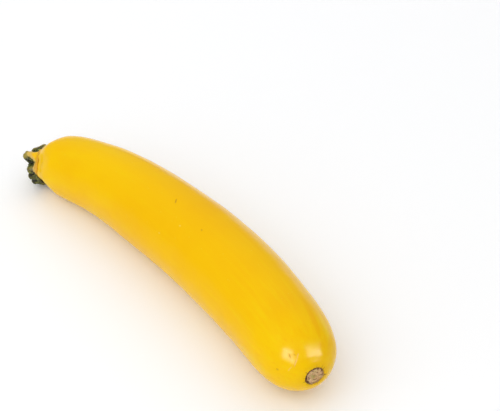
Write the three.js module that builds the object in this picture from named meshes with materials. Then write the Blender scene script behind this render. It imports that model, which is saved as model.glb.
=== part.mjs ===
// A yellow zucchini as picked: one long, slightly bowed fruit that lies on its side, and the short
// cut stub of the five-ridged stem that it hung from.
//
// Units are millimetres and +Z is up. z = 0 is the surface that the fruit lies on, +X runs from the
// stem to the blossom end, and the fruit bows towards +Y. The origin is the middle of the part's
// bounding box, at the height of that surface.
//
// Both pieces are lathed as straight bodies and then bent along one axis curve. A place on them is
// told by three numbers: how far along that axis it is from the neck, its distance from the axis,
// and its angle round it, from straight up (0) towards the hollow side of the bow (90 degrees).

import * as THREE from "three";

const { degToRad, lerp, smoothstep } = THREE.MathUtils;

// ---- Driving dimensions ----

const FRUIT_LENGTH = 199.6; // along the axis, from the neck to the blossom scar
const BELLY_RADIUS = 20; // at the thickest part, two thirds of the way along
const NECK_RADIUS = 8.8; // where the fruit meets the stem
const SCAR_RADIUS = 4.6; // the corky disc that the blossom fell from
const PRESSED_FLAT = 0.4; // how much of the soft underside is pressed flat by its own weight

const RIDGES = 5; // angles of the stem, which run out on to the fruit's shoulder
const FIRST_RIDGE = degToRad(10); // the angle of the topmost ridge
const SHOULDER_RIDGE_LENGTH = 13; // how far the ridges reach along the fruit
const NECK_GROOVE_RADIUS = 7.6; // from the axis to the bottom of a groove, at the neck

const STEM_LENGTH = 7.4; // from the neck to the middle of the cut
const STEM_SLANT = 1.4; // how much further the slanted cut reaches at its longest edge
const SLANT_ANGLE = degToRad(-20); // the angle of that edge
const STEM_RIDGE_RADIUS = 9.2; // from the axis to the back of a ridge, near the cut
const STEM_GROOVE_RADIUS = 6; // from the axis to the bottom of a groove, near the cut
const STEM_RIM = 0.8; // how much the edge of the cut is worn back
const JOINT_GAP = 0.3; // clearance between the two solids

const SEGMENTS = 40; // round the axis, a multiple of the ridges
const RINGS = 46; // along the fruit

// ---- The axis that both pieces are bent along ----

// How far along the chord, how far out on the bow, and how high before it settles. The first point
// is past the cut of the stem, the second is the neck, and the last is past the blossom scar.
const axis = new THREE.CatmullRomCurve3(
  [
    [-10, -7.5, 8],
    [0, 0, 11.2],
    [18, 8, 15.3],
    [54, 14.2, 18.3],
    [105, 15, 19.7],
    [149, 10.8, 19.6],
    [195, 0, 20.4],
    [205, -3, 20.6],
  ].map(([x, y, z]) => new THREE.Vector3(x, y, z)),
  false,
  "catmullrom",
);
const stretches = axis.points.length - 1;
axis.arcLengthDivisions = 300 * stretches;
const axisLength = axis.getLength();
const neckDistance = axis.getLengths()[300];

/** The axis's own frame at a distance along it from the neck. */
function frameAt(along) {
  const share = THREE.MathUtils.clamp((neckDistance + along) / axisLength, 0, 1);
  const centre = axis.getPointAt(share);
  const forward = axis.getTangentAt(share);
  const side = new THREE.Vector3().crossVectors(forward, new THREE.Vector3(0, 0, 1)).normalize();
  const over = new THREE.Vector3().crossVectors(side, forward);
  return { centre, side, over };
}

/**
 * Lathes a profile of (radius, along) points, bends it along the axis, and settles it on z = 0.
 * reshape turns a vertex's radius, along and angle into its new radius and along before that.
 */
function bentLathe(profile, reshape) {
  const geometry = new THREE.LatheGeometry(profile, SEGMENTS);
  const position = geometry.getAttribute("position");
  for (let i = 0; i < position.count; i++) {
    const [x, y, z] = [position.getX(i), position.getY(i), position.getZ(i)];
    const angle = Math.atan2(x, z);
    const [radius, along] = reshape(Math.hypot(x, z), y, angle);
    const { centre, side, over } = frameAt(along);
    const place = centre
      .addScaledVector(side, radius * Math.sin(angle))
      .addScaledVector(over, radius * Math.cos(angle));
    position.setXYZ(i, place.x, place.y, Math.max(place.z - PRESSED_FLAT, 0));
  }
  geometry.deleteAttribute("uv");
  geometry.computeVertexNormals();
  return geometry;
}

/** 1 on the back of a ridge and 0 at the bottom of a groove. */
function ridgeAt(angle) {
  return (1 + Math.cos(RIDGES * (angle - FIRST_RIDGE))) / 2;
}

// ---- The fruit ----

/** The fruit's outline from the neck to the scar, as (radius, along) points. */
function fruitProfile() {
  const outline = new THREE.SplineCurve(
    [
      [0, NECK_RADIUS],
      [2.4, 10.3],
      [7, 13.3],
      [16, 15.2],
      [32, 16.4],
      [60, 18.4],
      [96, 19.6],
      [132, BELLY_RADIUS],
      [160, 19.2],
      [178, 18.3],
      [189, 15.7],
      [195.6, 11.1],
      [198.6, 7.2],
      [FRUIT_LENGTH, SCAR_RADIUS],
    ].map(([along, radius]) => new THREE.Vector2(radius, along)),
  );
  const neckCentre = new THREE.Vector2(0, 0);
  const scarCentre = new THREE.Vector2(0, FRUIT_LENGTH);
  return [neckCentre, ...outline.getPoints(RINGS), scarCentre];
}

/** Sinks grooves between the ridges at the neck, which fade out along the shoulder. */
function grooveShoulder(radius, along, angle) {
  const fade = 1 - smoothstep(along, 0, SHOULDER_RIDGE_LENGTH);
  const groove = 1 - NECK_GROOVE_RADIUS / NECK_RADIUS;
  return [radius * (1 - groove * fade * (1 - ridgeAt(angle))), along];
}

const fruit = new THREE.Mesh(
  bentLathe(fruitProfile(), grooveShoulder),
  new THREE.MeshStandardMaterial({ color: 0xf2b705, roughness: 0.35, metalness: 0 }),
);
fruit.name = "fruit";

// ---- The stem stub ----

/** Points that say which share of the stem's radius they are at, and which share of its length. */
function stemProfile() {
  const cut = [0, 0.35, 0.7].map((share) => new THREE.Vector2(share, -1));
  const flank = [-1, -0.9, -0.7, -0.45, -0.2, 0].map((row) => new THREE.Vector2(1, row));
  return [...cut, ...flank, new THREE.Vector2(0, 0)];
}

/** Gives those points their places on the ridged, flaring stub and on its slanted cut. */
function shapeStem(share, row, angle) {
  const towardsCut = -row;
  const ridge = lerp(NECK_RADIUS, STEM_RIDGE_RADIUS, towardsCut);
  const groove = lerp(NECK_GROOVE_RADIUS, STEM_GROOVE_RADIUS, smoothstep(towardsCut, 0, 0.6));
  const rim = STEM_RIM * smoothstep(towardsCut, 0.85, 1);
  const radius = share * (lerp(groove, ridge, ridgeAt(angle)) - rim);
  const reach = STEM_LENGTH + STEM_SLANT * share * Math.cos(angle - SLANT_ANGLE);
  return [radius, -JOINT_GAP - towardsCut * reach];
}

const stem = new THREE.Mesh(
  bentLathe(stemProfile(), shapeStem),
  new THREE.MeshStandardMaterial({ color: 0x4a5a24, roughness: 0.8, metalness: 0 }),
);
stem.name = "stem";

// ---- The part ----

const zucchini = new THREE.Group();
zucchini.add(fruit, stem);

const middle = new THREE.Box3().setFromObject(zucchini).getCenter(new THREE.Vector3());
zucchini.position.set(-middle.x, -middle.y, 0);

export default zucchini;
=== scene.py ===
"""A yellow zucchini lying on a pale floor, under soft studio light.

The fruit and its stem stub are each modelled straight, standing on the neck where they meet, and
are bent along one axis curve at the end. In that straight space, which is in millimetres, z is how
far along the axis a point is from the neck, x is how far it is to the hollow side of the bow, and
y is how far it is above the axis. Patterns on the skin are laid out there too, so they follow the
bend.
"""

import math
from bisect import bisect_right

import bmesh
import bpy
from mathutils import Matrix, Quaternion, Vector, noise


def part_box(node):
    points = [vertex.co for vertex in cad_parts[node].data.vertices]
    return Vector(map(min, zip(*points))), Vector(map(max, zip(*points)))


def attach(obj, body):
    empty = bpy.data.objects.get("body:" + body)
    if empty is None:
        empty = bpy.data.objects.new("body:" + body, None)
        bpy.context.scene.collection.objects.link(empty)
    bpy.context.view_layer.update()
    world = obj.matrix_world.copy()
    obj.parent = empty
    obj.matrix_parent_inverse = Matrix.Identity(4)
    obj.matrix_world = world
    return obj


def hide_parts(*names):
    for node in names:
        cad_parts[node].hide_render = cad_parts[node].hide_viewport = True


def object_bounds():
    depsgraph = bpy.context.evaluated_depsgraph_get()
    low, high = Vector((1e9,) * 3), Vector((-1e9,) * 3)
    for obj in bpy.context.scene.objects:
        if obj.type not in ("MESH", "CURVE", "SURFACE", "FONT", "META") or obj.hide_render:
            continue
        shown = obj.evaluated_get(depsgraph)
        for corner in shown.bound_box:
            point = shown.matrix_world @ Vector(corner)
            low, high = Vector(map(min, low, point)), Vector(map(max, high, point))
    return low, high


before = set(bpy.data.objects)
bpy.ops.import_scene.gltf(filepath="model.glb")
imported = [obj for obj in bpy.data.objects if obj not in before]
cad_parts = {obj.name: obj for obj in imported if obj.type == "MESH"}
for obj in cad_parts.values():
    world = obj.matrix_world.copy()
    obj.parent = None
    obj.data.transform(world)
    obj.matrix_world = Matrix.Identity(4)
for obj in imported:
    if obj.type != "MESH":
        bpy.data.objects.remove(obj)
CAD_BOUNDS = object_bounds()

MM = 0.001
FRUIT_LOW, FRUIT_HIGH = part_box("fruit")
FRUIT_SPAN = FRUIT_HIGH - FRUIT_LOW

# ---- Driving sizes, in millimetres ----

BELLY_RADIUS = 0.508 * FRUIT_SPAN.z / MM  # the body is pressed a little flat underneath
PRESSED_FLAT = 0.02 * BELLY_RADIUS
NECK_RADIUS = 0.44 * BELLY_RADIUS
NECK_GROOVE_RADIUS = 0.38 * BELLY_RADIUS
SCAR_RADIUS = 0.23 * BELLY_RADIUS
SCAR_PAINTED = 0.92  # the corky disc's edge, in scar radii
SHOULDER_LENGTH = 13.0  # how far the stem's ridges run out on the fruit

RIDGES = 5
FIRST_RIDGE = math.radians(10)  # the angle of the topmost ridge, from straight up

PRESS_SOFTNESS = 0.25  # how gently the pressed underside runs out

AROUND_FRUIT = 168  # edges round each piece
AROUND_STEM = 240
FINE_STEP = 0.3  # ring spacing near the two ends of the fruit
BODY_STEP = 1.1  # ring spacing along the rest of it
SCAR_RINGS = 28  # from the scar's edge to its middle
STEM_FLANK_RINGS = 56  # along the stub
STEM_CUT_RINGS = 34  # from the edge of its cut to the middle


# ---- Curves through points ----


def catmull(points, position, reflect):
    """A place on the smooth curve through the points, where position counts them from 0."""
    first = min(int(position), len(points) - 2)
    share = position - first
    before = points[first - 1] if first > 0 else None
    after = points[first + 2] if first + 2 < len(points) else None
    start, end = points[first], points[first + 1]
    if before is None:
        before = 2 * start - end if reflect else start
    if after is None:
        after = 2 * end - start if reflect else end
    leave, arrive = (end - before) / 2, (after - start) / 2
    cubic = 2 * start - 2 * end + leave + arrive
    square = 3 * end - 3 * start - 2 * leave - arrive
    return cubic * share**3 + square * share**2 + leave * share + start


def smooth_step(value, low, high):
    """0 below low and 1 above high, with a soft ramp between them."""
    share = min(1.0, max(0.0, (value - low) / (high - low)))
    return share * share * (3 - 2 * share)


# ---- The axis that both pieces are bent along ----

# Where the middle of the neck is, from the low corner of the fruit's box and from the floor.
NECK = FRUIT_LOW / MM + Vector((4.58, 12.9, -PRESSED_FLAT))
# How far each point is along the chord, out on the bow and up, from under the neck. The first point
# is past the cut of the stem, the second is the neck, and the last is past the blossom scar.
AXIS_POINTS = [
    NECK + Vector(step)
    for step in [
        (-10, -7.5, 8),
        (0, 0, 11.2),
        (18, 8, 15.3),
        (54, 14.2, 18.3),
        (105, 15, 19.7),
        (149, 10.8, 19.6),
        (195, 0, 20.4),
        (205, -3, 20.6),
    ]
]
STEPS_A_STRETCH = 200


def axis_table():
    """Places along the axis, and how far each is from the neck."""
    count = (len(AXIS_POINTS) - 1) * STEPS_A_STRETCH
    places = [catmull(AXIS_POINTS, i / STEPS_A_STRETCH, True) for i in range(count + 1)]
    distances = [0.0]
    for a, b in zip(places, places[1:]):
        distances.append(distances[-1] + (b - a).length)
    neck = distances[STEPS_A_STRETCH]
    return places, [d - neck for d in distances]


AXIS_PLACES, AXIS_DISTANCES = axis_table()


def bent(point):
    """Where a point of the straight fruit goes once it is bent and has settled on the floor."""
    i = min(max(bisect_right(AXIS_DISTANCES, point.z) - 1, 1), len(AXIS_PLACES) - 3)
    share = (point.z - AXIS_DISTANCES[i]) / (AXIS_DISTANCES[i + 1] - AXIS_DISTANCES[i])
    centre = AXIS_PLACES[i].lerp(AXIS_PLACES[i + 1], share)
    before = AXIS_PLACES[i + 1] - AXIS_PLACES[i - 1]
    after = AXIS_PLACES[i + 2] - AXIS_PLACES[i]
    forward = before.lerp(after, share).normalized()
    side = forward.cross(Vector((0, 0, 1))).normalized()
    over = side.cross(forward)
    place = centre + side * point.x + over * point.y
    if place.z < PRESS_SOFTNESS:
        depth = (place.z - PRESS_SOFTNESS) / PRESS_SOFTNESS
        place.z = PRESS_SOFTNESS * math.exp(max(-30.0, depth))
    return place * MM


def angle_of(point):
    """The angle round the axis: 0 on top, and a quarter turn on the hollow side."""
    return math.atan2(point.x, point.y)


# ---- Turning an outline into a mesh ----


def face_outwards(shape):
    """Turns the faces of a closed shape outwards, as bending can turn it inside out."""
    bmesh.ops.recalc_face_normals(shape, faces=shape.faces)
    if shape.calc_volume(signed=True) < 0:
        bmesh.ops.reverse_faces(shape, faces=shape.faces)
    shape.normal_update()


def lathe(outline, around):
    """A closed round body, grown ring by ring from an outline of (radius, along) points."""
    shape = bmesh.new()
    radius, along = outline[0]
    bmesh.ops.create_circle(shape, cap_ends=True, cap_tris=True, segments=around, radius=radius)
    bmesh.ops.translate(shape, verts=shape.verts, vec=(0, 0, along))
    rim = [edge for edge in shape.edges if edge.is_boundary]
    for next_radius, next_along in outline[1:]:
        grown = bmesh.ops.extrude_edge_only(shape, edges=rim)["geom"]
        ring = [item for item in grown if isinstance(item, bmesh.types.BMVert)]
        rim = [item for item in grown if isinstance(item, bmesh.types.BMEdge)]
        rim = [edge for edge in rim if edge.is_boundary]
        scale = next_radius / radius
        bmesh.ops.scale(shape, vec=(scale, scale, 1), verts=ring)
        bmesh.ops.translate(shape, verts=ring, vec=(0, 0, next_along - along))
        radius, along = next_radius, next_along
    bmesh.ops.pointmerge(shape, verts=ring, merge_co=(0, 0, along))
    face_outwards(shape)
    return shape


def finish_piece(shape, name, body, node, material, fields):
    """Bends a straight shape into place and hands it over as a finished piece of the object."""
    straight = [v.co.copy() for v in shape.verts]
    for v in shape.verts:
        v.co = bent(v.co)
    face_outwards(shape)
    mesh = bpy.data.meshes.new(name)
    shape.to_mesh(mesh)
    shape.free()
    mesh.polygons.foreach_set("use_smooth", [True] * len(mesh.polygons))
    for field, values in {"straight": straight, **fields}.items():
        attribute = mesh.attributes.new(field, "FLOAT_VECTOR", "POINT")
        attribute.data.foreach_set("vector", [number for value in values for number in value])
    mesh.materials.append(material)
    piece = bpy.data.objects.new(name, mesh)
    bpy.context.scene.collection.objects.link(piece)
    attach(piece, body)
    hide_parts(node)


# ---- The fruit ----

# How far along the fruit, in millimetres, and the radius there.
FRUIT_OUTLINE = [
    (0, NECK_RADIUS),
    (2.4, 10.3),
    (7, 13.3),
    (16, 15.2),
    (32, 16.4),
    (60, 18.4),
    (96, 19.6),
    (132, BELLY_RADIUS),
    (160, 19.2),
    (178, 18.3),
    (189, 15.7),
    (195.6, 11.1),
    (198.6, 7.2),
    (199.6, SCAR_RADIUS),
]
FRUIT_LENGTH = FRUIT_OUTLINE[-1][0]
FINE_ENDS = (16, 178)  # rings are closer together before the first and after the second


def fruit_outline():
    """The outline from inside the neck, over the body, to the middle of the scar."""
    points = [Vector((radius, along)) for along, radius in FRUIT_OUTLINE]
    outline = [Vector((NECK_RADIUS * share, 0.0)) for share in (0.3, 0.6, 0.9)]
    for i, (a, b) in enumerate(zip(points, points[1:])):
        in_body = FINE_ENDS[0] <= a.y < FINE_ENDS[1]
        steps = max(2, round((b - a).length / (BODY_STEP if in_body else FINE_STEP)))
        outline += [catmull(points, i + step / steps, False) for step in range(steps)]
    for ring in range(SCAR_RINGS + 1):
        outline.append(Vector((SCAR_RADIUS * (1 - ring / SCAR_RINGS), FRUIT_LENGTH)))
    return outline


def ridge_at(angle):
    """1 on the back of a stem ridge and 0 in the groove between two."""
    return (1 + math.cos(RIDGES * (angle - FIRST_RIDGE))) / 2


def grow_body(v):
    """Gives a vertex of the round body the fruit's uneven growth: grooves, faint ribs and lumps."""
    along, angle = v.co.z, angle_of(v.co)
    radius = math.hypot(v.co.x, v.co.y)
    if radius < 1e-6:
        return
    fade = 1 - smooth_step(along, 0, SHOULDER_LENGTH)
    groove = 1 - NECK_GROOVE_RADIUS / NECK_RADIUS
    scale = 1 - groove * fade * (1 - ridge_at(angle))
    wander = 0.25 * noise.noise(Vector((0, 0, along / 40)))
    rib = math.cos(2 * RIDGES * (angle - FIRST_RIDGE + wander))
    ends = smooth_step(along, 4, 30) * (1 - smooth_step(along, 180, 197))
    broad = noise.fractal(v.co / 34 + Vector((3, 1, 7)), 0.8, 2.0, 3)
    small = noise.noise(v.co / 6 + Vector((11, 5, 2)))
    lift = ends * (0.07 * rib + 0.32 * broad) + 0.035 * small * smooth_step(along, 2, 12)
    scale *= 1 + lift / max(radius, 6)
    v.co.x *= scale
    v.co.y *= scale


def grow_scar(v):
    """Sinks the corky disc that the blossom fell from, and cracks its edge."""
    out = math.hypot(v.co.x, v.co.y) / SCAR_RADIUS
    if v.co.z < FRUIT_LENGTH - 4 or out > 2.2:
        return
    angle = angle_of(v.co)
    ring = Vector((math.cos(angle), math.sin(angle), 0))
    edge = 1 + 0.07 * noise.noise(ring * 1.7 + Vector((4, 0, 9))) + 0.03 * noise.noise(ring * 7)
    near = out / edge / SCAR_PAINTED
    disc = 1 - smooth_step(near, 0.86, 0.98)
    swell = smooth_step(near, 0.9, 1.12) * (1 - smooth_step(near, 1.2, 2.0))
    crack = math.exp(-(((near - 0.95) / 0.055) ** 2))
    spokes = max(0.0, noise.noise(ring * 9 + Vector((0, 0, near * 0.6)))) ** 1.2
    tick = math.exp(-(((near - 1.08) / 0.14) ** 2)) * spokes
    cork = noise.fractal(Vector((v.co.x, v.co.y, 0)), 0.5, 2.0, 4)
    dimple = math.exp(-((out / 0.16) ** 2))
    face = 0.30 * cork - 0.12 * dimple - 0.22
    v.co += v.normal * (0.16 * swell - 0.34 * crack - 0.5 * tick + disc * face)


def make_fruit(material):
    shape = lathe(fruit_outline(), AROUND_FRUIT)
    for v in shape.verts:
        grow_body(v)
    shape.normal_update()
    for v in shape.verts:
        grow_scar(v)
    finish_piece(shape, "fruit_skin", "root", "fruit", material, {})


# ---- The stem stub ----

# The stem's five ridges, and a low swelling on its flank between the second and the fourth entry.
# Each has its angle in degrees, how far it reaches, its radius near the cut, how much its back is
# humped near the fruit, and how much of its length is as yellow as the fruit.
STEM_RIDGES = [
    (13, 8.3, 9.3, -1.2, 0.60),
    (71, 6.4, 8.8, -0.3, 0.27),
    (106, 7.6, 7.8, -0.2, 0.00),
    (142, 7.6, 9.0, 0.3, 0.00),
    (222, 7.4, 9.0, 0.2, 0.10),
    (302, 7.4, 8.6, 1.1, 0.05),
]
STEM_BASE = 0.7  # how far the stub is let into the neck
VALLEY_REACH = 6.3  # where the cut is, between the ridges
VALLEY_RADIUS = 5.6


def turn_between(a, b):
    """The angle from a to b by the shorter way, in degrees."""
    return (a - b + 180) % 360 - 180


def ridge_share(angle, ridge, width):
    """How much of a ridge there is at an angle: 1 on its back, falling over its rounded flanks."""
    away = abs(turn_between(angle, ridge)) / width
    return math.exp(-(away**2.6))


def stem_outline():
    """The plain outline that the stub is shaped from: x is a share of the radius, y of the length."""
    base = [Vector((0.3, 0.0)), Vector((0.7, 0.0))]
    flank = [Vector((1.0, row / STEM_FLANK_RINGS)) for row in range(STEM_FLANK_RINGS + 1)]
    cut = [Vector((1 - ring / STEM_CUT_RINGS, 1.0)) for ring in range(1, STEM_CUT_RINGS + 1)]
    return base + flank + cut


def shape_stem(v):
    """Moves a vertex of the plain stub to its place, and says what is there.

    That is how much of a ridge, how far inside the yellow part, and how much of the cut.
    """
    share = math.hypot(v.co.x, v.co.y)
    row = v.co.z
    turn = math.degrees(angle_of(v.co)) if share > 1e-6 else 0.0
    wobble = 4 * noise.noise(Vector((math.radians(turn), row * 2, 4.0)))
    width = 33 - 14 * smooth_step(row, 0.0, 0.7)
    shares = [ridge_share(turn + wobble, ridge[0], width) for ridge in STEM_RIDGES]
    ridge = max(shares)
    _, ridge_reach, ridge_radius, hump, ridge_yellow = STEM_RIDGES[shares.index(ridge)]
    reach = VALLEY_REACH + (ridge_reach - VALLEY_REACH) * ridge
    foot = 0.35 * math.exp(-(((row - 0.12) / 0.09) ** 2))
    foot += hump * ridge * math.exp(-(((row - 0.35) / 0.22) ** 2))
    back = NECK_RADIUS + (ridge_radius - NECK_RADIUS) * smooth_step(row, 0.1, 0.8)
    deepening = (VALLEY_RADIUS - NECK_GROOVE_RADIUS) * smooth_step(row, 0.05, 0.6)
    valley = NECK_GROOVE_RADIUS + deepening
    rim = 0.9 * smooth_step(row, 0.86, 1.0)
    outer = valley + (back - valley) * ridge + foot * (0.4 + ridge) - rim
    direction = Vector((math.sin(math.radians(turn)), math.cos(math.radians(turn)), 0))
    sunk = 0.5 * (1 - share**2) * smooth_step(row, 0.97, 1.0)
    length = reach * share + VALLEY_REACH * (1 - share)
    v.co = direction * (outer * share)
    v.co.z = STEM_BASE * (1 - row) - length * row + sunk
    on_cut = smooth_step(row, 0.965, 0.995)
    yellow = 0.14 + (ridge_yellow - 0.14) * ridge
    yellow -= 0.6 * smooth_step(math.cos(math.radians(turn - 128)), 0.58, 0.82)
    return Vector((ridge, yellow - row, on_cut * (1 - smooth_step(share, 0.9, 1.0) * 0.6)))


def roughen_stem(v, zone):
    """Warts and fibres on the flanks, and torn fibres on the cut."""
    ridge, yellow, cut = zone
    turn = angle_of(v.co)
    drawn_out = Vector((math.cos(turn) * 9, math.sin(turn) * 9, v.co.z * 0.18))
    fibre = noise.fractal(drawn_out, 0.8, 2, 3)
    warts = max(0.0, noise.noise(v.co * 0.85 + Vector((5, 3, 1)))) ** 1.5
    flank = (0.28 * fibre + 1.3 * warts * (1 - 0.5 * ridge)) * smooth_step(-yellow, -0.1, 0.2)
    torn = 0.25 * noise.fractal(v.co * 1.1, 0.6, 2.0, 4)
    v.co += v.normal * (flank * (1 - cut) + torn * cut)


def make_stem(material):
    shape = lathe(stem_outline(), AROUND_STEM)
    zones = [shape_stem(v) for v in shape.verts]
    face_outwards(shape)
    for v, zone in zip(shape.verts, zones):
        roughen_stem(v, zone)
    finish_piece(shape, "stem_stub", "root", "stem", material, {"zone": zones})


# ---- Material building ----


class Field:
    """A value that varies over a surface. Arithmetic on it adds the nodes that work it out."""

    def __init__(self, shader, socket):
        self.shader = shader
        self.socket = socket

    def math(self, operation, *others):
        values = dict(enumerate((self, *others)))
        return self.shader.add("ShaderNodeMath", {"operation": operation}, values)

    def __add__(self, other):
        return self.math("ADD", other)

    __radd__ = __add__

    def __mul__(self, other):
        return self.math("MULTIPLY", other)

    __rmul__ = __mul__

    def __sub__(self, other):
        return self.math("SUBTRACT", other)

    def __rsub__(self, other):
        return self.shader.add("ShaderNodeMath", {"operation": "SUBTRACT"}, {0: other, 1: self})

    def __truediv__(self, other):
        return self.math("DIVIDE", other)

    def __pow__(self, other):
        return self.math("POWER", other)

    def over(self, low, high):
        """0 where the value is below low and 1 above high, with a soft ramp between them."""
        values = {"Value": self, "From Min": low, "From Max": high}
        return self.shader.add("ShaderNodeMapRange", {"interpolation_type": "SMOOTHSTEP"}, values)

    def under(self, low, high):
        return 1 - self.over(low, high)


class Shader:
    """One material, and the methods that add nodes to it."""

    def __init__(self, name):
        self.material = bpy.data.materials.new(name)
        self.material.use_nodes = True
        self.tree = self.material.node_tree
        self.tree.nodes.clear()

    def add(self, kind, settings, values, output=0):
        """Adds a node of a type, with its settings, and its sockets' values or links."""
        node = self.tree.nodes.new(kind)
        for name, value in settings.items():
            setattr(node, name, value)
        for name, value in values.items():
            if isinstance(value, Field):
                self.tree.links.new(value.socket, node.inputs[name])
            else:
                node.inputs[name].default_value = value
        return Field(self, node.outputs[output]) if node.outputs else None

    def vector_math(self, operation, a, b=None, output=0):
        values = {0: a} if b is None else {0: a, 1: b}
        return self.add("ShaderNodeVectorMath", {"operation": operation}, values, output)

    def attribute(self, name):
        return self.add("ShaderNodeAttribute", {"attribute_name": name}, {}, "Vector")

    def parts(self, vector):
        """The x, y and z of a vector."""
        x = self.add("ShaderNodeSeparateXYZ", {}, {0: vector}, 0)
        outputs = x.socket.node.outputs
        return x, Field(self, outputs[1]), Field(self, outputs[2])

    def noise(self, where, size, detail=2.0, roughness=0.5, stretch=(1, 1, 1), warp=0.0):
        """Noise from about 0 to 1 whose features are about size millimetres across."""
        placed = self.vector_math("MULTIPLY", where, [1 / (size * s) for s in stretch])
        values = {"Vector": placed, "Scale": 1.0, "Detail": detail}
        values |= {"Roughness": roughness, "Distortion": warp}
        return self.add("ShaderNodeTexNoise", {}, values, "Fac")

    def mix(self, share, a, b):
        """Colour a where share is 0, and colour b where it is 1."""
        a, b = ((*c, 1) if isinstance(c, tuple) else c for c in (a, b))
        return self.add("ShaderNodeMix", {"data_type": "RGBA"}, {0: share, 6: a, 7: b}, 2)

    def bump(self, height, distance):
        """A bumped normal from a height field, where height 1 stands distance metres proud."""
        values = {"Strength": 1.0, "Distance": distance, "Height": height}
        return self.add("ShaderNodeBump", {}, values)

    def surface(self, values):
        principled = self.add("ShaderNodeBsdfPrincipled", {}, values)
        self.add("ShaderNodeOutputMaterial", {}, {"Surface": principled})
        return self.material


# ---- Skin ----

YELLOW = (0.880, 0.530, 0.000)
DEEP_YELLOW = (0.840, 0.430, 0.000)
LEMON = (0.870, 0.600, 0.002)
SPECK = (0.920, 0.660, 0.090)
SCAR_TAN = (0.580, 0.370, 0.150)
SCAR_PINK = (0.680, 0.390, 0.210)
SCAR_PALE = (0.840, 0.620, 0.330)
SCAR_GREEN = (0.420, 0.360, 0.090)
SCAR_BROWN = (0.150, 0.052, 0.008)
SCAR_DARK = (0.060, 0.018, 0.003)
SCAR_HALO = (0.720, 0.420, 0.004)
SEAM_ORANGE = (0.560, 0.240, 0.010)
# The colour of a painted highlight, a sheen beside the seam.
PAINTED_SHEEN_PALE = (0.900, 0.600, 0.120)
BRUISE = (0.470, 0.180, 0.004)
SCRATCH = (0.900, 0.500, 0.200)
PALE_PATCH = (0.880, 0.600, 0.100)

# Small marks on the skin: how far along, the angle in degrees, its length and width, and how much
# it is turned from the fruit's own direction. The last two are its colour and how strong it is.
MARKS = [
    (90.8, 9.5, 3.4, 0.9, 50, BRUISE, 0.62),
    (113.6, 18.4, 1.5, 1.0, 20, BRUISE, 0.42),
    (192.3, 77.0, 1.2, 1.0, 0, BRUISE, 0.5),
    (193.5, 41.0, 2.2, 0.6, 30, BRUISE, 0.55),
    (194.3, 33.0, 1.2, 0.5, -20, BRUISE, 0.4),
    (195.2, 30.0, 2.4, 0.45, 62, SCRATCH, 0.4),
    (196.2, 43.0, 3.8, 0.45, 75, SCRATCH, 0.5),
    (195.9, 62.0, 3.2, 0.4, 100, SCRATCH, 0.35),
    (103.3, 32.3, 1.3, 0.9, 0, SPECK, 0.6),
    (95.4, 57.1, 1.4, 0.8, 0, SPECK, 0.6),
    (146.0, -70.0, 5.0, 0.4, 15, BRUISE, 0.4),
    (62.0, -140.0, 2.4, 1.1, 0, BRUISE, 0.5),
    (128.0, 150.0, 7.0, 3.4, 10, PALE_PATCH, 0.4),
]

# Bands painted a little deeper or paler over the skin, given as the marks are. The first, a deep
# strip on the swelling near the blossom end, is painted shade.
BANDS = [
    # Painted shade: a darker strip down the swelling near the blossom end.
    (184, -25, 36, 3.4, 0, DEEP_YELLOW, 0.75),
    (186, -44, 28, 3.6, 0, LEMON, 0.5),
    (180, 96, 30, 5.0, 0, LEMON, 0.35),
]


def outline_radius(along):
    """The fruit's plain radius at a distance along it."""
    for (a, radius_a), (b, radius_b) in zip(FRUIT_OUTLINE, FRUIT_OUTLINE[1:]):
        if along <= b:
            return radius_a + (radius_b - radius_a) * (along - a) / (b - a)
    return SCAR_RADIUS


def add_mark(shader, where, ragged, colour, mark):
    """Paints one mark over the skin's colour, and says where it is."""
    along, angle, length, width, turned, tint, strength = mark
    angle = math.radians(angle)
    outward = Vector((math.sin(angle), math.cos(angle), 0))
    centre = outward * outline_radius(along) + Vector((0, 0, along))
    across = Vector((math.cos(angle), -math.sin(angle), 0))
    turned = math.radians(turned)
    main = Vector((0, 0, 1)) * math.cos(turned) + across * math.sin(turned)
    cross = main.cross(outward)
    offset = shader.vector_math("SUBTRACT", where, tuple(centre))
    u = shader.vector_math("DOT_PRODUCT", offset, tuple(main / length * 2), "Value")
    v = shader.vector_math("DOT_PRODUCT", offset, tuple(cross / width * 2), "Value")
    w = shader.vector_math("DOT_PRODUCT", offset, tuple(outward / 4), "Value")
    distance = (u * u + v * v + w * w) ** 0.5
    inside = (distance + ragged).under(0.45, 1.15)
    return shader.mix(inside * strength, colour, tint), inside


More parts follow.
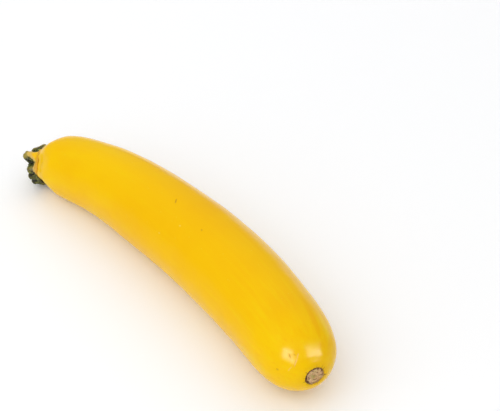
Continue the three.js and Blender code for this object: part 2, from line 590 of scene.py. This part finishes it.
def skin_material():
    shader = Shader("zucchini_skin")
    where = shader.attribute("straight")
    x, y, along = shader.parts(where)
    broad = shader.noise(where, 30, 3)
    patches = shader.noise(where, 9, 3, 0.55, stretch=(1, 1, 3))
    streaks = shader.noise(where, 1.6, 3, 0.6, stretch=(1, 1, 16))
    mottle = shader.noise(where, 0.9, 2, 0.6)
    colour = shader.mix(broad.over(0.35, 0.75) * 0.55, YELLOW, DEEP_YELLOW)
    colour = shader.mix(patches.over(0.45, 0.8) * 0.35, colour, LEMON)
    saddle = along.over(30, 90) * along.under(150, 192) * (y + x * 0.4).over(-4, 14)
    colour = shader.mix(saddle * 0.38, colour, DEEP_YELLOW)
    towards_blossom = along.over(120, 190) * 0.35 + 0.12
    colour = shader.mix(streaks.over(0.48, 0.75) * towards_blossom, colour, LEMON)
    colour = shader.mix(streaks.under(0.28, 0.46) * towards_blossom, colour, DEEP_YELLOW)
    colour = shader.mix(mottle.over(0.5, 0.8) * 0.10, colour, DEEP_YELLOW)

    ragged = (shader.noise(where, 0.5, 3, 0.6) - 0.5) * 0.9
    # The first band paints shade, a darker strip on the swelling near the blossom end.
    for band in BANDS:
        colour, _ = add_mark(shader, where, ragged, colour, band)

    cells = shader.add(
        "ShaderNodeTexVoronoi",
        {"feature": "F1"},
        {"Vector": shader.vector_math("MULTIPLY", where, (0.42, 0.42, 0.34)), "Scale": 1.0},
        "Distance",
    )
    chosen = shader.noise(where, 5, 1)
    specks = cells.under(0.04, 0.13) * chosen.over(0.42, 0.62)
    colour = shader.mix(specks * 0.45, colour, SPECK)

    marked = None
    for mark in MARKS:
        colour, inside = add_mark(shader, where, ragged, colour, mark)
        marked = inside if marked is None else marked.math("MAXIMUM", inside)

    # The scar, by how far out it is in scar radii.
    flat = shader.vector_math("MULTIPLY", where, (1, 1, 0))
    out = shader.vector_math("LENGTH", flat, None, "Value") / (SCAR_RADIUS * SCAR_PAINTED)
    blossom_end = along.over(FRUIT_LENGTH - 6, FRUIT_LENGTH - 3)
    direction = shader.vector_math("NORMALIZE", flat)
    uneven = shader.noise(direction, 0.55, 3, 0.6)
    ragged_edge = shader.noise(where, 0.9, 3, 0.65) - 0.5
    edge = out + (uneven - 0.5) * 0.25 + ragged_edge * 0.22
    halo = edge.under(1.05, 2.0) * blossom_end
    colour = shader.mix(halo * 0.35, colour, SCAR_HALO)
    spokes = shader.noise(direction, 0.10, 2, 0.7).over(0.54, 0.66)
    ticks = spokes * edge.under(1.10, 1.45) * blossom_end
    colour = shader.mix(ticks * 0.85, colour, SCAR_BROWN)
    disc = edge.under(0.95, 1.04) * blossom_end
    grain = shader.noise(where, 0.6, 4, 0.7)
    cork = shader.mix(grain.over(0.40, 0.60), SCAR_TAN, SCAR_PINK)
    pale = shader.noise(where, 1.3, 3, 0.7).over(0.50, 0.60)
    cork = shader.mix(pale * 0.8, cork, SCAR_PALE)
    green = shader.noise(where, 2.6, 2, 0.5).over(0.42, 0.58) * out.under(0.25, 0.85)
    cork = shader.mix(green * 0.7, cork, SCAR_GREEN)
    pits = shader.noise(where, 1.1, 3, 0.6, warp=0.4).over(0.55, 0.63)
    cork = shader.mix(pits * 0.75, cork, SCAR_BROWN)
    colour = shader.mix(disc, colour, cork)
    ring = edge.over(0.80, 0.90) * edge.under(1.00, 1.12) * blossom_end
    # The rim is darkest on top, and all but gone low down on the outer side.
    rim_top_share = (y * 0.12 + x * 0.10 + ragged_edge * 1.6).over(-0.45, 0.35)
    colour = shader.mix(ring * (rim_top_share * 0.6 + 0.4), colour, SCAR_BROWN)
    darkest = ring * rim_top_share * uneven.over(0.40, 0.56)
    colour = shader.mix(darkest * 0.9, colour, SCAR_DARK)

    # The thin line where the fruit ends and the stem begins, and a pale painted sheen just past it.
    past_neck = along + (shader.noise(where, 3.2, 2) - 0.5) * 4.5
    seam = past_neck.over(-0.4, 0.4) * past_neck.under(0.5, 1.5)
    colour = shader.mix(seam * 0.8, colour, SEAM_ORANGE)
    # A pale band just past the seam is a painted highlight standing in for sheen beside the join.
    painted_sheen_band = past_neck.over(1.0, 2.0) * past_neck.under(2.0, 4.5)
    colour = shader.mix(painted_sheen_band * 0.25, colour, PAINTED_SHEEN_PALE)

    roughness = 0.15 + shader.noise(where, 3, 3) * 0.09
    roughness = roughness + marked * 0.25 + edge.under(0.98, 1.15) * blossom_end * 0.5
    peel = shader.noise(where, 1.1, 2, 0.5) * 0.5 + shader.noise(where, 4.5, 2, 0.5)
    bumps = peel * 0.5 + grain * disc * 6 - marked * 1.2 - specks * 0.3
    return shader.surface({
        "Base Color": colour,
        "Roughness": roughness,
        "Specular IOR Level": 0.085,
        "Normal": shader.bump(bumps, 0.00006),
    })


# ---- Stem ----

STEM_DARK = (0.010, 0.010, 0.002)
STEM_GREEN = (0.075, 0.085, 0.010)
STEM_LIGHT = (0.300, 0.320, 0.060)
STEM_OLIVE = (0.330, 0.260, 0.045)
STEM_EDGE = (0.740, 0.500, 0.110)
CUT_TAN = (0.560, 0.460, 0.230)
CUT_GREEN = (0.260, 0.270, 0.070)


def stem_material():
    shader = Shader("zucchini_stem")
    where = shader.attribute("straight")
    _, y, along = shader.parts(where)
    ridge, yellow, cut = shader.parts(shader.attribute("zone"))
    warts = shader.noise(where, 1.7, 4, 0.65)
    fibres = shader.noise(where, 0.7, 3, 0.6, stretch=(1, 1, 5))
    colour = shader.mix(warts.over(0.46, 0.58), STEM_DARK, STEM_GREEN)
    colour = shader.mix(fibres.over(0.52, 0.62) * warts.over(0.40, 0.55) * 0.8, colour, STEM_LIGHT)
    wander = shader.noise(where, 1.6, 3) - 0.5
    spine = (ridge + wander * 0.3).over(0.62, 0.9)
    on_top = y.over(1, 7) * 0.8 + 0.1
    colour = shader.mix(spine * warts.over(0.3, 0.5) * on_top, colour, STEM_OLIVE)
    front = yellow + wander * 0.16
    rim = front.over(-0.20, -0.06)
    colour = shader.mix(rim * 0.9, colour, STEM_EDGE)
    fleshy = front.over(0.02, 0.16)
    colour = shader.mix(fleshy, colour, YELLOW)
    seam = (along + wander * 5).over(-1.0, -0.1) * front.over(-0.4, -0.2)
    colour = shader.mix(seam * 0.6, colour, SEAM_ORANGE)
    rings = shader.noise(where, 0.5, 4, 0.7)
    face = shader.mix(rings.over(0.4, 0.65), CUT_TAN, CUT_GREEN)
    colour = shader.mix(cut, colour, face)
    bumps = warts * 2 + fibres
    return shader.surface({
        "Base Color": colour,
        "Roughness": 0.34 + warts * 0.3,
        "Specular IOR Level": 0.2,
        "Normal": shader.bump(bumps, 0.00012),
    })


# ---- Camera, floor and light ----

CAMERA_AZIMUTH = math.radians(50.3)
CAMERA_ELEVATION = math.radians(40)
CAMERA_DISTANCE = 0.85
CAMERA_LENS = 128.8
LIGHT_DISTANCE = 1.0
FLOOR_HALF = 4.0
FLOOR_GAP = 0.0001  # keeps the floor just clear of the pressed underside
# The fruit lies to the left of and nearer than the point that the camera is aimed at.
AIM_OFFSET = Vector((-0.016, 0.0534, 0))


def direction_to(azimuth, elevation):
    """Which way to look from the fruit, turned from the near side, and raised above the floor."""
    level = math.cos(elevation)
    return Vector((math.sin(azimuth) * level, -math.cos(azimuth) * level, math.sin(elevation)))


def aim(item, away):
    """Turns a camera or a light to face back along the way it was moved."""
    item.rotation_mode = "QUATERNION"
    item.rotation_quaternion = (-away).to_track_quat("-Z", "Y")


def make_camera():
    data = bpy.data.cameras.new("camera")
    data.lens = CAMERA_LENS
    data.sensor_width = 36
    camera = bpy.data.objects.new("camera", data)
    bpy.context.scene.collection.objects.link(camera)
    low, high = CAD_BOUNDS
    target = Vector(((low.x + high.x) / 2, (low.y + high.y) / 2, low.z)) + AIM_OFFSET
    back = direction_to(CAMERA_AZIMUTH, CAMERA_ELEVATION)
    camera.location = target + back * CAMERA_DISTANCE
    aim(camera, back)
    bpy.context.scene.camera = camera


def make_floor():
    shape = bmesh.new()
    bmesh.ops.create_grid(shape, x_segments=1, y_segments=1, size=FLOOR_HALF)
    bmesh.ops.translate(shape, verts=shape.verts, vec=(0, 0, -FLOOR_GAP))
    mesh = bpy.data.meshes.new("floor")
    shape.to_mesh(mesh)
    shape.free()
    shader = Shader("floor")
    grain = shader.noise(shader.add("ShaderNodeTexCoord", {}, {}, "Object"), 0.3, 2)
    colour = shader.mix(grain * 0.5, (0.94, 0.945, 0.955), (0.965, 0.965, 0.97))
    material = shader.surface({"Base Color": colour, "Roughness": 0.9, "Specular IOR Level": 0.1})
    mesh.materials.append(material)
    floor = bpy.data.objects.new("floor", mesh)
    bpy.context.scene.collection.objects.link(floor)


def area_light(name, azimuth, elevation, size, roll, radiance, gloss):
    """A soft light a metre away, for either the shine on things or everything else."""
    away = direction_to(math.radians(azimuth), math.radians(elevation))
    data = bpy.data.lights.new(name, "AREA")
    data.shape = "RECTANGLE"
    data.size, data.size_y = size
    data.energy = radiance * math.pi * size[0] * size[1]
    light = bpy.data.objects.new(name, data)
    light.location = (FRUIT_LOW + FRUIT_HIGH) / 2 + away * LIGHT_DISTANCE
    aim(light, away)
    light.rotation_quaternion @= Quaternion((0, 0, 1), math.radians(roll))
    light.visible_glossy = gloss
    light.visible_diffuse = not gloss
    bpy.context.scene.collection.objects.link(light)


def make_light():
    world = bpy.data.worlds.new("studio")
    world.use_nodes = True
    background = world.node_tree.nodes["Background"]
    background.inputs["Color"].default_value = (1, 1, 1, 1)
    background.inputs["Strength"].default_value = 0.45
    scene = bpy.context.scene
    scene.world = world
    scene.view_settings.view_transform = "Standard"
    scene.view_settings.look = "None"
    area_light("front_fill", 15, 42, (1.6, 1.2), 0, 0.86, gloss=False)
    area_light("top_fill", 0, 90, (3.0, 3.0), 0, 0.44, gloss=False)
    area_light("back_fill", 225, 35, (1.6, 1.2), 0, 0.40, gloss=False)
    area_light("left_shine", 24, 28, (0.44, 0.50), 0, 24, gloss=True)
    area_light("right_shine", 108, 29, (0.84, 0.40), -32, 24, gloss=True)


make_camera()
make_floor()
make_light()
make_fruit(skin_material())
make_stem(stem_material())
